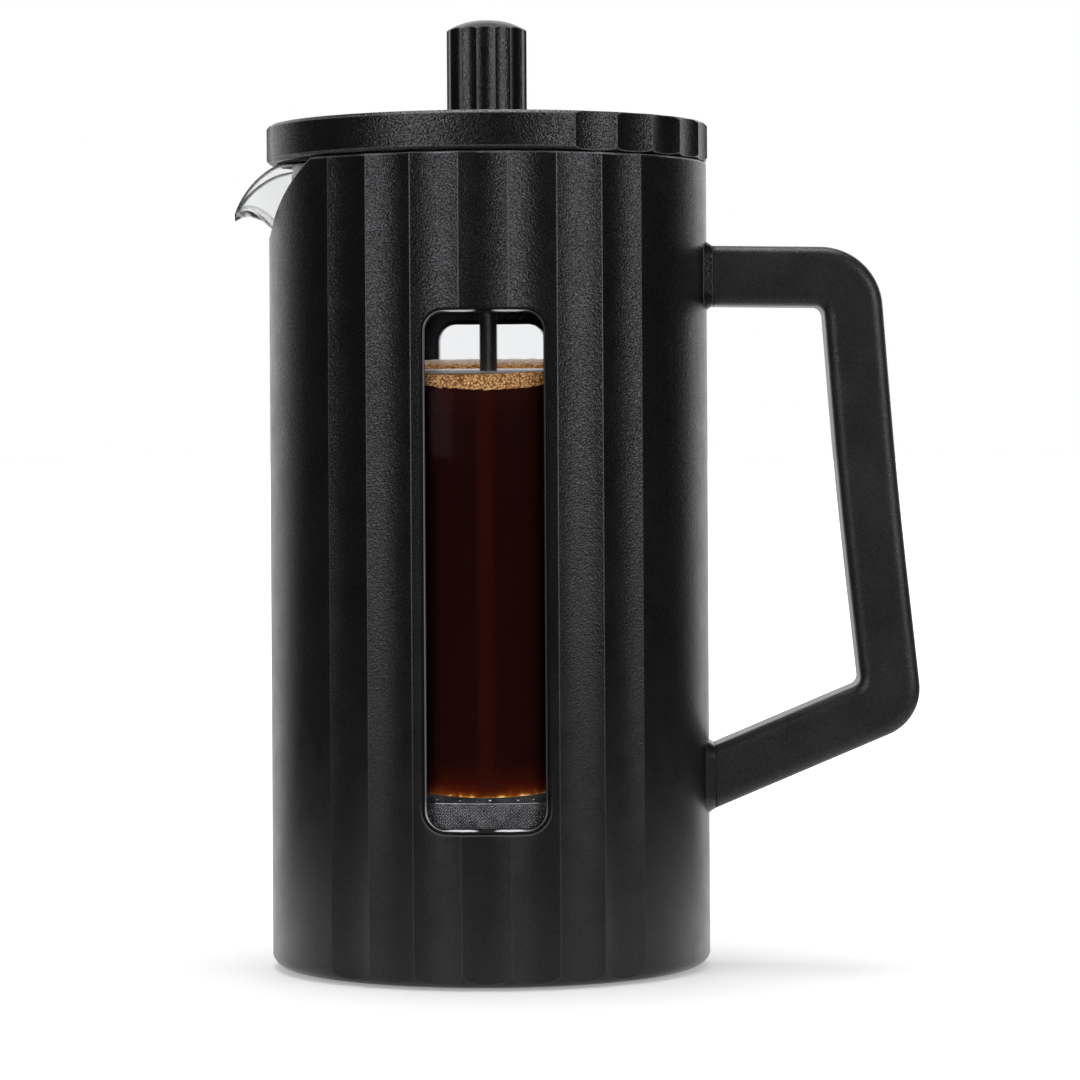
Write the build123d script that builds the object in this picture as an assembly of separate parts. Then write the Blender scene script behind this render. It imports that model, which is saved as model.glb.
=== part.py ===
"""French press: glass beaker in a fluted shell, turned lid and a rod plunger.

Millimetres, +Z up. The origin is on the beaker axis at the surface that the
press stands on. The spout points to -X and the handle to +X.
"""
from build123d import *
from math import cos, hypot, radians, sin, tan
import os

# ---------------------------------------------------------------- fits
RUNNING_FIT = 0.08          # radial play of a part that slides or turns on a pin
SCREW_FIT = 0.05            # radial play of a screw in its hole
REST_GAP = 0.30             # play where a part rests on a part that lifts off
BORE_GAP = 0.40             # play between the beaker and the shell around it

# ---------------------------------------------------------------- shell
shell_radius = 52.5
shell_wall = 2.8
shell_bottom = 0.5          # the shell's lower edge, just above the table
shell_height = 191.4
shell_foot_round = 3.6
shell_floor_top = 20.0
shell_floor_thickness = 3.0
round_overlap = 0.12        # the edge rounds start this far outside the ridges

flute_count = 7
flute_pitch = 12.5          # degrees
flute_depth = 1.0

window_width = 27.2
window_bottom = 36.9
window_height = 118.3
window_corner = 4.4
window_edge_bevel = 0.8

notch_depth = 17.1          # from the shell's rim down to the notch's floor
notch_floor_half = 9.5
notch_side_angle = 35.5     # degrees above level
notch_round = 7.0

# ---------------------------------------------------------------- handle
handle_depth = 18.0
handle_edge_round = 2.8
handle_drop = 19.85         # from the shell's rim down to the upper arm
pad_height = 1.2            # the pads' seats stand this proud of the shell
pad_flare = 35.0            # degrees, the pads widen towards the shell
upper_arm_thickness = 14.25
upper_arm_length = 39.5     # from the seam to the grip's outer face
upper_arm_slope = 0.9       # degrees, the arm falls a little towards the grip
grip_thickness = 14.1
grip_tilt = 5.2             # degrees, the grip leans out towards its foot
grip_bow = 0.85             # degrees, each half leans this much less or more than that
grip_bow_run = 20.0         # length of the bend on each side of the grip's middle
grip_drop = 113.35          # from the upper arm's top down to the grip's foot corner
lower_arm_thickness = 13.9
lower_arm_slope = 22.8      # degrees
grip_top_round = 15.0
grip_foot_round = 12.0
grip_inner_round = 2.2

handle_screw_diameter = 4.0
handle_screw_length = 16.0
handle_screw_head = 7.6
handle_screw_head_height = 1.7

# ---------------------------------------------------------------- base
base_cover_thickness = 2.2
base_cover_recess = 0.5     # the cover lies this far inside the shell's lower edge
base_cover_play = 0.25
base_lip_width = 4.0        # width of the shell's inner lip that locates the cover
base_post_inset = 15.7      # from the shell's bore to the middle of a screw post
base_post_radius = 4.2
base_post_count = 4
base_rib_thickness = 1.8
base_screw_diameter = 3.0
base_screw_length = 11.0
base_screw_head = 5.6
base_screw_head_height = 1.3

foot_ring_inset = 2.2       # from the edge of the base opening to the ring
foot_ring_width = 4.5
foot_ring_seat = 0.8        # depth of the ring's groove in the cover

# ---------------------------------------------------------------- beaker
glass_wall = 2.0
glass_floor = 3.0
glass_foot_round = 7.0
glass_rim_drop = 0.4        # the rim of the glass lies this far below the shell's
cushion_thickness = 2.5
cushion_inset = 6.3
cushion_bore = 14.0

spout_overhang = 11.4       # from the glass wall out to the lip
spout_wall = 1.9
spout_tip_drop = 12.6       # from the rim down to the underside of the lip
spout_tip_height = 5.4
spout_tip_half = 3.2
spout_lip_thickness = 1.7
spout_dip_start = 1.3       # the pouring edge leaves the rim this far inside the wall
spout_dip_bulge = 1.5
spout_throat_back = 4.2     # from the lip back to the throat's section
spout_throat_drop = 11.7
spout_throat_height = 10.0
spout_throat_floor_half = 3.9
spout_throat_half = 8.8
spout_throat_round = 3.5
spout_neck_back = 9.1       # from the lip back to the neck's section
spout_neck_drop = 14.7
spout_neck_height = 16.0
spout_neck_floor_half = 6.0
spout_neck_half = 17.0
spout_neck_round = 5.6
spout_root_inset = 13.3     # from the glass wall in to the root's section
spout_root_drop = 27.1
spout_root_height = 37.0
spout_root_floor_half = 9.5
spout_root_half = 37.0
spout_root_round = 8.0
spout_tip_round = 1.0

# ---------------------------------------------------------------- lid
lid_overhang = 0.5          # the lid stands this proud of the shell
lid_height = 9.0
lid_gap = 0.4               # between the shell's rim and the lid
lid_top_bevel = 0.8
lid_bottom_round = 1.4
lid_wall = 2.4
lid_plate = 2.6
lid_flute_count = 7
lid_flute_pitch = 12.0      # degrees
lid_flute_depth = 1.0
lid_turned = 65.6           # degrees, the lid's set from its pouring position

liner_plate = 1.6
liner_skirt_play = 1.0      # between the skirt and the glass
liner_skirt_wall = 1.5
liner_skirt_depth = 18.5    # below the rim of the glass
liner_boss_radius = 8.0
liner_boss_depth = 4.0
liner_rib_count = 6
liner_rib_thickness = 1.4
strainer_slots = 9
strainer_slot_width = 1.8
strainer_slot_pitch = 4.6   # degrees
strainer_margin = 4.0       # from the skirt's lower edge up to the slots
strainer_slot_height = 12.0

gasket_thickness = 1.3
gasket_width = 1.8

bush_radius = 4.2
bush_flange_radius = 7.5
bush_flange_thickness = 1.4
bush_nut_radius = 7.0
bush_nut_height = 1.8

# ---------------------------------------------------------------- plunger
grounds_space = 8.6         # below the pressed screen
rod_diameter = 4.2
rod_collar_radius = 4.4
rod_collar_height = 2.4
plate_thickness = 0.8
mesh_thickness = 0.5
mesh_play = 0.35            # between the mesh skirt and the glass
mesh_skirt_height = 8.2
cross_plate_edge = 2.5      # inset of the cross plate's rim from the mesh skirt
cross_arm_count = 6
cross_arm_width = 5.0
cross_rim_width = 3.0
cross_hub_radius = 9.0
spiral_plate_edge = 0.6     # between the plate's rim and the mesh skirt
spiral_slot_count = 12
spiral_slot_hub = 13.0      # radius of the plain middle
spiral_slot_margin = 5.9    # from the slots to the plate's rim
spiral_slot_swirl = 38.0    # degrees that each slot sweeps
spiral_slot_spread = 9.0    # degrees between the two sides of a slot
coil_section = 2.0          # radius of the coil's round section
coil_play = 0.15
coil_facets = 8             # flats round the envelope's section
filter_nut_radius = 6.5
filter_nut_height = 2.6
filter_sleeve_radius = 3.7

knob_radius = 9.6
knob_height = 25.1
knob_dome = 2.4
knob_flute_count = 14
knob_flute_depth = 0.65
knob_crown = 9.9            # solid above the insert
insert_radius = 3.5
insert_recess = 1.2

# ---------------------------------------------------------------- derived
shell_top = shell_bottom + shell_height
bore_radius = shell_radius - shell_wall
notch_bottom = shell_top - notch_depth

handle_seam = shell_radius + pad_height
upper_arm_top = shell_top - handle_drop
upper_arm_bottom = upper_arm_top - upper_arm_thickness
grip_reach = handle_seam + upper_arm_length
grip_top = upper_arm_top - upper_arm_length * tan(radians(upper_arm_slope))
grip_foot_height = upper_arm_top - grip_drop
grip_middle = (grip_top + grip_foot_height) / 2
grip_bow_radius = grip_bow_run / tan(radians(grip_bow))
screw_head_seat = bore_radius + handle_screw_head_height + REST_GAP

base_seat_radius = bore_radius - base_lip_width / 2
base_cover_bottom = shell_bottom + base_cover_recess
base_cover_top = base_cover_bottom + base_cover_thickness
base_screw_seat = base_cover_bottom + base_screw_head_height
base_post_circle = bore_radius - base_post_inset
foot_ring_outer = base_seat_radius - foot_ring_inset
foot_ring_inner = foot_ring_outer - foot_ring_width
foot_ring_thickness = base_cover_bottom + foot_ring_seat

glass_radius = bore_radius - BORE_GAP
glass_bore = glass_radius - glass_wall
glass_top = shell_top - glass_rim_drop
cushion_radius = glass_radius - cushion_inset
cushion_top = shell_floor_top + cushion_thickness
glass_bottom = cushion_top + REST_GAP
glass_floor_top = glass_bottom + glass_floor
spout_reach = glass_radius + spout_overhang
spout_tip_bottom = glass_top - spout_tip_drop
spout_tip_edge = spout_tip_bottom + spout_lip_thickness

lid_radius = shell_radius + lid_overhang
lid_bottom = shell_top + lid_gap
lid_top = lid_bottom + lid_height
lid_inner_radius = lid_radius - lid_wall
lid_plate_bottom = lid_top - lid_plate
turned_lid = Rot(0, 0, lid_turned)
skirt_outer = glass_bore - liner_skirt_play
skirt_inner = skirt_outer - liner_skirt_wall
liner_radius = lid_inner_radius - REST_GAP
liner_plate_bottom = lid_plate_bottom - liner_plate
liner_boss_bottom = liner_plate_bottom - liner_boss_depth
liner_skirt_bottom = glass_top - liner_skirt_depth
gasket_bottom = glass_top + REST_GAP
gasket_top = gasket_bottom + gasket_thickness
gasket_middle = (glass_bore + glass_radius) / 2
liner_foot_bottom = gasket_top + REST_GAP
bush_nut_bottom = lid_top - bush_nut_height - SCREW_FIT

rod_bore = rod_diameter / 2 + RUNNING_FIT
mesh_radius = glass_bore - mesh_play
mesh_bottom = glass_floor_top + grounds_space
mesh_floor_top = mesh_bottom + mesh_thickness
spiral_plate_radius = mesh_radius - mesh_thickness - spiral_plate_edge
spiral_plate_level = mesh_bottom + mesh_skirt_height - plate_thickness
spiral_plate_top = spiral_plate_level + plate_thickness
cross_plate_radius = mesh_radius - cross_plate_edge
cross_plate_bottom = mesh_bottom - plate_thickness
filter_nut_bottom = cross_plate_bottom - filter_nut_height
rod_bottom = filter_nut_bottom + SCREW_FIT
knob_bottom = lid_top + REST_GAP
knob_top = knob_bottom + knob_height
insert_bottom = knob_bottom + insert_recess
insert_top = knob_top - knob_crown

FRONT = 270.0
BACK = 90.0
SPOUT_SIDE = 180.0


# ---------------------------------------------------------------- helpers
def ring(outer, inner, bottom, top):
    """A plain tube between two heights."""
    tube = Circle(outer) - Circle(inner)
    return extrude(Plane.XY.offset(bottom) * tube, top - bottom)


def disc(radius, bottom, top):
    """A plain disc between two heights."""
    return extrude(Plane.XY.offset(bottom) * Circle(radius), top - bottom)


def revolved(points):
    """Solid of revolution about Z from an outline of (radius, height) points."""
    return revolve(Plane.XZ * make_face(Polyline(*points, close=True)), Axis.Z)


def flute_cutter(radius, pitch, depth, angle):
    """Circle that hollows one flute between two ridges on the given radius."""
    half_chord = radius * sin(radians(pitch / 2))
    sag = depth - radius * (1 - cos(radians(pitch / 2)))
    cutter_radius = (half_chord ** 2 + sag ** 2) / (2 * sag)
    distance = radius - depth + cutter_radius
    return Rot(0, 0, angle) * Pos(distance, 0) * Circle(cutter_radius)


def fluted_outline(radius, pitch, depth, count, middles):
    """Round outline with a run of flutes about each middle angle."""
    outline = Circle(radius)
    for middle in middles:
        for index in range(count):
            angle = middle + (index - (count - 1) / 2) * pitch
            outline -= flute_cutter(radius, pitch, depth, angle)
    return outline


def rounded_foot_cylinder(radius, bottom, top, foot_round):
    """Cylinder with a rounded lower edge."""
    body = disc(radius, bottom, top)
    return fillet(body.edges().group_by(Axis.Z)[0], foot_round)


# ---------------------------------------------------------------- handle line
def grip_outer(height):
    """Outer face of the leaning grip at a height, before its middle is rounded."""
    above = tan(radians(grip_tilt - grip_bow))
    below = tan(radians(grip_tilt + grip_bow))
    if height > grip_middle:
        return grip_reach + (grip_top - height) * above
    return grip_reach + (grip_top - grip_middle) * above + (grip_middle - height) * below


def grip_inner(height):
    """Inner face of the grip at a height."""
    return grip_outer(height) - grip_thickness


def lower_arm_ends():
    """Heights of the sloping arm's two faces at the seam."""
    run = grip_outer(grip_foot_height) - handle_seam
    bottom = grip_foot_height - run * tan(radians(lower_arm_slope))
    return bottom, bottom + lower_arm_thickness / cos(radians(lower_arm_slope))


def arm_ends():
    """Lower and upper height of each arm at the seam."""
    return [(upper_arm_bottom, upper_arm_top), lower_arm_ends()]


def inner_corner(start, slope, beside):
    """Where an arm's inner face, from its start at the seam, meets the grip's inner face."""
    rise = tan(radians(slope))
    lean = grip_inner(beside - 1) - grip_inner(beside)
    reach = grip_inner(beside) + lean * beside
    height = (start + rise * (reach - handle_seam)) / (1 + rise * lean)
    return reach - lean * height, height


# ---------------------------------------------------------------- shell pieces
def window_cut():
    """Straight cut for the front and the back window."""
    outline = RectangleRounded(window_width, window_height, window_corner)
    middle = window_bottom + window_height / 2
    return extrude(Plane.XZ * Pos(0, middle) * outline, 2 * shell_radius, both=True)


def window_edges(body):
    """Outer edges of both windows, where the cut meets the fluted skin."""
    skin = bore_radius + (shell_wall - flute_depth) / 2
    found = []
    for edge in body.edges():
        box = edge.bounding_box()
        ends = [hypot(point.X, point.Y) for point in (edge @ 0, edge @ 1)]
        across = max(-box.min.X, box.max.X) < window_width / 2 + 0.01
        along = box.min.Z > window_bottom - 0.01 and box.max.Z < window_bottom + window_height + 0.01
        if across and along and min(ends) > skin:
            found.append(edge)
    return found


def notch_cut():
    """Cut with sloping sides that lets the glass spout out of the shell."""
    rise = shell_top - notch_bottom
    top_half = notch_floor_half + rise / tan(radians(notch_side_angle))
    above = shell_top + rise
    outline = FilletPolyline(
        (-notch_floor_half, notch_bottom), (notch_floor_half, notch_bottom),
        (top_half, shell_top), (top_half, above), (-top_half, above), (-top_half, shell_top),
        radius=[notch_round, notch_round, 0, 0, 0, 0], close=True)
    return extrude(Plane.YZ.offset(-shell_radius * 1.2) * make_face(outline), shell_radius)


def handle_pad(bottom, top):
    """Flat pad, flared towards the shell, that one arm of the handle seats on."""
    outline = RectangleRounded(handle_depth, top - bottom, handle_edge_round)
    seat = Plane.YZ.offset(handle_seam) * Pos(0, (top + bottom) / 2) * outline
    return extrude(seat, -(handle_seam - bore_radius - shell_wall / 4), taper=-pad_flare)


def base_post_places():
    """Places of the screw posts under the shell's floor."""
    return PolarLocations(base_post_circle, base_post_count, 180 / base_post_count)


def base_posts():
    """Screw posts with a rib from each one out to the shell's wall."""
    top = shell_floor_top - shell_floor_thickness
    rib_end = bore_radius + shell_wall / 2
    rib_length = rib_end - base_post_circle
    rib = Pos(rib_length / 2, 0) * Rectangle(rib_length, base_rib_thickness)
    post = Circle(base_post_radius) + rib
    outlines = [place * post for place in base_post_places()]
    return [extrude(Plane.XY.offset(base_cover_top) * outline, top - base_cover_top)
            for outline in outlines]


def handle_screw_holes():
    """Clearance holes through the wall, counterbored from inside for the heads."""
    cuts = []
    for height in screw_heights():
        seat = screw_head_seat - bore_radius
        shank = Circle(handle_screw_diameter / 2 + SCREW_FIT)
        head = Circle(handle_screw_head / 2 + REST_GAP)
        inner_side = Plane.YZ.offset(bore_radius - 1)
        cuts.append(extrude(inner_side * Pos(0, height) * shank, 2 * shell_wall + 2))
        cuts.append(extrude(Plane.YZ.offset(screw_head_seat) * Pos(0, height) * head, -2 * seat))
    return cuts


def shell():
    """Fluted shell with its floor, windows, spout notch, pads and screw posts."""
    outline = fluted_outline(shell_radius, flute_pitch, flute_depth, flute_count, (FRONT, BACK))
    body = extrude(Plane.XY.offset(shell_bottom) * outline, shell_top - shell_bottom)
    body &= rounded_foot_cylinder(shell_radius + round_overlap, shell_bottom, shell_top, shell_foot_round)
    for bottom, top in arm_ends():
        body += handle_pad(bottom, top)
    body -= disc(bore_radius, shell_floor_top, shell_top + 1)
    body -= disc(bore_radius, base_cover_top, shell_floor_top - shell_floor_thickness)
    body -= disc(base_seat_radius, 0, base_cover_top)
    for post in base_posts():
        body += post
    pilot = Circle(base_screw_diameter / 2 + SCREW_FIT)
    for place in base_post_places():
        body -= extrude(Plane.XY.offset(base_cover_top) * place * pilot, base_screw_length)
    body -= window_cut()
    body = chamfer(window_edges(body), window_edge_bevel)
    body -= notch_cut()
    for cut in handle_screw_holes():
        body -= cut
    return body


# ---------------------------------------------------------------- handle
def handle_outline():
    """Side view of the handle: two arms and a grip that bows a little towards the shell."""
    lower_bottom, lower_top = lower_arm_ends()
    corners = [
        ((handle_seam, upper_arm_top), 0),
        ((grip_outer(grip_top), grip_top), grip_top_round),
        ((grip_outer(grip_middle), grip_middle), grip_bow_radius),
        ((grip_outer(grip_foot_height), grip_foot_height), grip_foot_round),
        ((handle_seam, lower_bottom), 0),
        ((handle_seam, lower_top), 0),
        (inner_corner(lower_top, lower_arm_slope, grip_foot_height), grip_inner_round),
        ((grip_inner(grip_middle), grip_middle), grip_bow_radius),
        (inner_corner(upper_arm_bottom, -upper_arm_slope, grip_top), grip_inner_round),
        ((handle_seam, upper_arm_bottom), 0)]
    points = [point for point, _ in corners]
    return make_face(FilletPolyline(*points, radius=[round for _, round in corners], close=True))


def handle():
    """D-shaped handle with rounded edges and two blind screw holes."""
    body = extrude(Plane.XZ * handle_outline(), handle_depth / 2, both=True)
    edges = [edge for edge in body.edges()
             if abs(edge.center().Y) > handle_depth / 2 - 0.01
             and edge.bounding_box().max.X > handle_seam + 0.01]
    body = fillet(edges, handle_edge_round)
    hole = Circle(handle_screw_diameter / 2 + SCREW_FIT)
    for height in screw_heights():
        depth = screw_head_seat + handle_screw_length - handle_seam + 1
        body -= extrude(Plane.YZ.offset(handle_seam) * Pos(0, height) * hole, depth)
    return body


def screw(diameter, length, head_diameter, head_height):
    """Flat-headed screw along +Z with its head's seat at the origin."""
    shank = Cylinder(diameter / 2, length, align=(Align.CENTER, Align.CENTER, Align.MIN))
    head = Cylinder(head_diameter / 2, head_height, align=(Align.CENTER, Align.CENTER, Align.MAX))
    return shank + head


def screw_heights():
    """Heights of the handle screws: halfway along its thread each lies in its arm's middle."""
    halfway = (screw_head_seat + handle_screw_length - handle_seam) / 2
    slopes = (-upper_arm_slope, lower_arm_slope)
    return [(bottom + top) / 2 + halfway * tan(radians(slope))
            for (bottom, top), slope in zip(arm_ends(), slopes)]


def handle_screws():
    """Two screws driven outwards from inside the shell into the handle."""
    one = screw(handle_screw_diameter, handle_screw_length, handle_screw_head,
                handle_screw_head_height)
    return [Pos(screw_head_seat, 0, height) * Rot(0, 90, 0) * one for height in screw_heights()]


# ---------------------------------------------------------------- base
def base_cover():
    """Disc that closes the hollow base, with a groove for the foot ring."""
    cover = disc(base_seat_radius - base_cover_play, base_cover_bottom, base_cover_top)
    cover -= ring(foot_ring_outer, foot_ring_inner, 0, foot_ring_thickness)
    hole = Circle(base_screw_diameter / 2 + SCREW_FIT)
    sink = Circle(base_screw_head / 2 + REST_GAP)
    for place in base_post_places():
        cover -= extrude(Plane.XY * place * hole, base_cover_top)
        cover -= extrude(Plane.XY * place * sink, base_screw_seat)
    return cover


def base_screws():
    """Four screws up through the cover into the shell's posts."""
    one = screw(base_screw_diameter, base_screw_length, base_screw_head, base_screw_head_height)
    return [Pos(0, 0, base_screw_seat) * place * one for place in base_post_places()]


def foot_ring():
    """Rubber ring that the press stands on."""
    profile = ring(foot_ring_outer, foot_ring_inner, 0, foot_ring_thickness)
    return chamfer(profile.edges().group_by(Axis.Z)[0], foot_ring_thickness / 4)


def beaker_cushion():
    """Silicone disc between the shell's floor and the glass."""
    return ring(cushion_radius, cushion_bore, shell_floor_top, cushion_top)


# ---------------------------------------------------------------- beaker
def spout_section(plane_x, floor, top, floor_half, top_half, corner):
    """Upright cross-section of the spout's trough."""
    outline = FilletPolyline(
        (-floor_half, floor), (floor_half, floor), (top_half, top), (-top_half, top),
        radius=[corner, corner, 0, 0], close=True)
    return Plane.YZ.offset(plane_x) * make_face(outline)


def trough(inset):
    """Tapered trough of the spout, drawn in by an inset for its inner face."""
    root = spout_section(
        spout_root_inset - glass_radius, glass_top - spout_root_drop + inset,
        glass_top - spout_root_drop + spout_root_height, spout_root_floor_half - inset / 2,
        spout_root_half - inset, spout_root_round - inset)
    neck = spout_section(
        spout_neck_back - spout_reach, glass_top - spout_neck_drop + inset,
        glass_top - spout_neck_drop + spout_neck_height, spout_neck_floor_half - inset / 2,
        spout_neck_half - inset, spout_neck_round - inset)
    throat = spout_section(
        spout_throat_back - spout_reach, glass_top - spout_throat_drop + inset,
        glass_top - spout_throat_drop + spout_throat_height, spout_throat_floor_half - inset / 2,
        spout_throat_half - inset, spout_throat_round - inset)
    tip = spout_section(
        inset / 2 - spout_reach, spout_tip_bottom + inset, spout_tip_bottom + spout_tip_height,
        (spout_tip_half - inset) / 2, spout_tip_half - inset * 0.8, spout_tip_round - inset / 4)
    return loft([root, neck, throat, tip])


def pouring_edge_cut():
    """Everything above the spout's edge, which dips from the rim to the tip."""
    start = (spout_dip_start - glass_radius, glass_top)
    end = (-spout_reach, spout_tip_edge)
    middle = ((start[0] + end[0]) / 2 - spout_dip_bulge, (start[1] + end[1]) / 2 + spout_dip_bulge)
    far = (-spout_reach - spout_overhang, spout_tip_edge - spout_lip_thickness * 2)
    above = glass_top + spout_root_height
    edge = ThreePointArc(start, middle, end)
    rest = Polyline(end, far, (far[0], above), (start[0], above), start)
    side = make_face(Wire([edge] + list(rest.edges())))
    return extrude(Plane.XZ * side, shell_radius, both=True)


def beaker():
    """Glass beaker: a round-bottomed cylinder with a drawn-out spout."""
    outside = rounded_foot_cylinder(glass_radius, glass_bottom, glass_top, glass_foot_round)
    above = glass_top + shell_radius
    inside = rounded_foot_cylinder(glass_bore, glass_floor_top, above, glass_foot_round - glass_wall)
    rim_cut = disc(shell_radius * 2, glass_top, above)
    body = outside + trough(0)
    body -= inside
    body -= trough(spout_wall)
    body -= rim_cut
    body -= pouring_edge_cut()
    return body


# ---------------------------------------------------------------- lid
def lid_cover():
    """Fluted cap with a rounded edge, a bush hole and a sunk seat for its nut."""
    outline = fluted_outline(lid_radius, lid_flute_pitch, lid_flute_depth, lid_flute_count, (FRONT, BACK))
    cover = extrude(Plane.XY.offset(lid_bottom) * outline, lid_top - lid_bottom)
    envelope = rounded_foot_cylinder(lid_radius + round_overlap, lid_bottom, lid_top, lid_bottom_round)
    cover &= chamfer(envelope.edges().group_by(Axis.Z)[-1], lid_top_bevel)
    cover -= disc(lid_inner_radius, lid_bottom, lid_plate_bottom)
    cover -= disc(bush_radius + SCREW_FIT, lid_bottom, lid_top)
    cover -= disc(bush_nut_radius + REST_GAP, bush_nut_bottom, lid_top)
    return turned_lid * cover


def lid_liner():
    """Plug under the lid: a skirt that shuts the spout, with a strainer in it."""
    hole = bush_radius + SCREW_FIT
    body = revolved([
        (hole, liner_boss_bottom), (liner_boss_radius, liner_boss_bottom),
        (liner_boss_radius, liner_plate_bottom), (skirt_inner, liner_plate_bottom),
        (skirt_inner, liner_skirt_bottom), (skirt_outer, liner_skirt_bottom),
        (skirt_outer, liner_foot_bottom), (liner_radius, liner_foot_bottom),
        (liner_radius, lid_plate_bottom), (hole, lid_plate_bottom)])
    rib_length = skirt_inner - liner_boss_radius + liner_skirt_wall / 2
    rib = Pos(liner_boss_radius - liner_skirt_wall / 4 + rib_length / 2, 0) * Rectangle(
        rib_length, liner_rib_thickness)
    for place in PolarLocations(0, liner_rib_count):
        ribbed = Plane.XY.offset(liner_boss_bottom) * place * rib
        body += extrude(ribbed, liner_plate_bottom - liner_boss_bottom)
    slot = Rectangle(strainer_slot_width, strainer_slot_height)
    slot_middle = liner_skirt_bottom + strainer_margin + strainer_slot_height / 2
    for index in range(strainer_slots):
        angle = SPOUT_SIDE + (index - (strainer_slots - 1) / 2) * strainer_slot_pitch
        upright = Plane.YZ.offset(skirt_inner - liner_skirt_wall) * Pos(0, slot_middle) * slot
        body -= Rot(0, 0, angle) * extrude(upright, 3 * liner_skirt_wall)
    return turned_lid * body


def lid_gasket():
    """Silicone ring between the rim of the glass and the lid."""
    return ring(gasket_middle + gasket_width / 2, gasket_middle - gasket_width / 2,
                gasket_bottom, gasket_top)


def rod_bush():
    """Flanged bush that guides the rod and clamps the liner to the lid."""
    bush = disc(bush_flange_radius, liner_boss_bottom - bush_flange_thickness, liner_boss_bottom)
    bush += disc(bush_radius, liner_boss_bottom, lid_top - SCREW_FIT)
    bush -= disc(rod_bore, liner_boss_bottom - bush_flange_thickness, lid_top)
    return bush


def bush_nut():
    """Thin hexagon nut sunk in the top of the lid, under the knob."""
    hexagon = Plane.XY.offset(bush_nut_bottom) * RegularPolygon(bush_nut_radius, 6)
    nut = extrude(hexagon, bush_nut_height)
    nut -= disc(bush_radius + SCREW_FIT, bush_nut_bottom, lid_top)
    return turned_lid * nut


# ---------------------------------------------------------------- plunger
def plunger_rod():
    """Straight rod with a collar that bears on the spiral plate."""
    rod = disc(rod_diameter / 2, rod_bottom, insert_top - insert_recess)
    collar = disc(rod_collar_radius, spiral_plate_top, spiral_plate_top + rod_collar_height)
    return rod + collar


def curved_slot():
    """Slot that swirls outwards and widens, between two like arcs."""
    inner = spiral_slot_hub
    outer = spiral_plate_radius - spiral_slot_margin
    swirl = radians(spiral_slot_swirl)
    middle = (inner + outer) / 2
    curve = ThreePointArc(
        (inner, 0), (middle * cos(swirl / 3), middle * sin(swirl / 3)),
        (outer * cos(swirl), outer * sin(swirl)))
    sides = [Rot(0, 0, turn * spiral_slot_spread / 2) * curve for turn in (-1, 1)]
    ends = [Line(sides[0] @ end, sides[1] @ end) for end in (0, 1)]
    return make_face(Wire([edge for part in sides + ends for edge in part.edges()]))


def spiral_plate():
    """Top plate of the filter, pierced by curved slots that swirl outwards."""
    outline = Circle(spiral_plate_radius) - Circle(rod_diameter / 2 + SCREW_FIT)
    outline -= PolarLocations(0, spiral_slot_count) * curved_slot()
    return extrude(Plane.XY.offset(spiral_plate_level) * outline, plate_thickness)


def filter_mesh():
    """Woven screen pressed into a shallow cup whose skirt wipes the glass."""
    floor = ring(mesh_radius, filter_sleeve_radius + SCREW_FIT, mesh_bottom, mesh_floor_top)
    skirt = ring(mesh_radius, mesh_radius - mesh_thickness, mesh_bottom, mesh_bottom + mesh_skirt_height)
    return floor + skirt


def coil_spring():
    """Closed coil that runs round inside the skirt, as its outer envelope."""
    level = spiral_plate_level - coil_play - coil_section
    middle = mesh_radius - mesh_thickness - coil_play - coil_section
    half_facet = 180 / coil_facets
    section = RegularPolygon(coil_section, coil_facets, major_radius=False, rotation=half_facet)
    return revolve(Plane.XZ * Pos(middle, level) * section, Axis.Z)


def cross_plate():
    """Bottom plate of the filter: a hub, spokes and a rim."""
    outline = Circle(cross_plate_radius) - Circle(cross_plate_radius - cross_rim_width)
    outline += Circle(cross_hub_radius)
    spoke_length = cross_plate_radius - cross_rim_width / 2
    spoke = Pos(spoke_length / 2, 0) * Rectangle(spoke_length, cross_arm_width)
    outline += PolarLocations(0, cross_arm_count) * spoke
    outline -= Circle(filter_sleeve_radius + SCREW_FIT)
    return extrude(Plane.XY.offset(cross_plate_bottom) * outline, plate_thickness)


def filter_nut():
    """Hexagon nut whose sleeve spaces the spiral plate from the screen."""
    hexagon = Plane.XY.offset(filter_nut_bottom) * RegularPolygon(filter_nut_radius, 6)
    nut = extrude(hexagon, filter_nut_height)
    nut += disc(filter_sleeve_radius, cross_plate_bottom, spiral_plate_level)
    nut -= disc(rod_diameter / 2 + SCREW_FIT, filter_nut_bottom, spiral_plate_level)
    return nut


def knob():
    """Fluted knob with a domed top and a blind hole for its insert."""
    pitch = 360 / knob_flute_count
    outline = fluted_outline(knob_radius, pitch, knob_flute_depth, knob_flute_count, (0,))
    body = extrude(Plane.XY.offset(knob_bottom) * outline, knob_top - knob_bottom)
    shoulder = knob_top - knob_dome
    dome = ThreePointArc(
        (knob_radius, shoulder), (knob_radius * 0.72, knob_top - knob_dome * 0.42), (0, knob_top))
    sides = Polyline((0, knob_top), (0, knob_bottom), (knob_radius, knob_bottom), (knob_radius, shoulder))
    envelope = revolve(Plane.XZ * make_face(Wire([dome] + list(sides.edges()))), Axis.Z)
    body &= envelope
    body -= disc(insert_radius + SCREW_FIT, knob_bottom, insert_top)
    return body


def knob_insert():
    """Threaded metal insert that the rod screws into."""
    return ring(insert_radius, rod_diameter / 2 + SCREW_FIT, insert_bottom, insert_top)


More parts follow.
